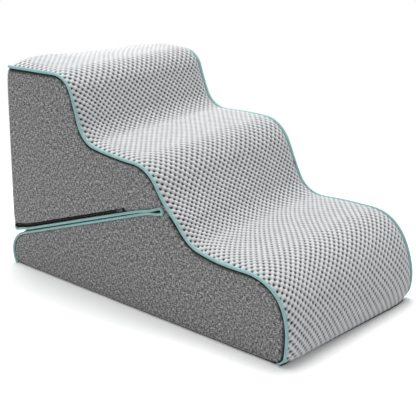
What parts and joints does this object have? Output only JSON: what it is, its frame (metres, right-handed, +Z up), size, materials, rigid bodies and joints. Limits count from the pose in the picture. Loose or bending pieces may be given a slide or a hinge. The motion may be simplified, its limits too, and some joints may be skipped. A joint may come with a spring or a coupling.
{
  "type": "pet stairs",
  "caption": "Foam pet stairs with wave-shaped steps, a knit tread cover, piped edges, and an upper block that folds forward along a slanted slit.",
  "frame": {"origin": "on the floor, at the middle of the overall size", "axes": "+X to the right across the width seen from the front, +Y to the rear and the highest step, +Z up"},
  "size_m": [0.4, 0.748, 0.44],
  "materials": {
    "spacer_knit": "light grey spacer knit with raised loops",
    "melange_cloth": "mid-grey melange plain weave",
    "non_slip_cloth": "dark grey, dotted grip",
    "piping_cloth": "teal, smooth woven",
    "foam": "open-cell foam",
    "zipper_tape": "black woven tape",
    "zipper_coil": "black nylon",
    "zipper_metal": "black enamel"
  },
  "bodies": {
    "lower_block": {"lower_foam_core": "foam", "lower_mesh_cover": "spacer_knit", "lower_side_panel_left": "melange_cloth", "lower_side_panel_right": "melange_cloth", "lower_slope_panel": "melange_cloth", "base_panel": "non_slip_cloth", "lower_edge_piping_left": "piping_cloth", "lower_edge_piping_right": "piping_cloth", "lower_slit_piping_left": "piping_cloth", "lower_slit_piping_right": "piping_cloth"},
    "upper_block": {"upper_foam_core": "foam", "upper_mesh_cover": "spacer_knit", "upper_side_panel_left": "melange_cloth", "upper_side_panel_right": "melange_cloth", "upper_back_panel": "melange_cloth", "upper_bottom_panel": "melange_cloth", "upper_edge_piping_left": "piping_cloth", "upper_edge_piping_right": "piping_cloth", "upper_slit_piping": "piping_cloth", "zipper_tape_upper": "zipper_tape", "zipper_tape_lower": "zipper_tape", "zipper_coil_upper": "zipper_coil", "zipper_coil_lower": "zipper_coil", "zipper_stops": "zipper_coil"},
    "slider": {"zipper_slider": "zipper_metal"},
    "pull": {"zipper_pull": "zipper_metal"}
  },
  "joints": [
    {"name": "block_fold", "type": "hinge", "parent": "lower_block", "child": "upper_block", "pos_m": [0, -0.09112, 0.22947], "axis": [1, 0, 0], "range_deg": [0, 160]},
    {"name": "slider_travel", "type": "slide", "parent": "upper_block", "child": "slider", "axis": [0, 0.9432, -0.3322], "range_m": [0, 0.272]},
    {"name": "pull_swing", "type": "hinge", "parent": "slider", "child": "pull", "pos_m": [-0.1985, 0.0411, 0.19399], "axis": [0, -0.3322, -0.9432], "range_deg": [0, 180]}
  ]
}
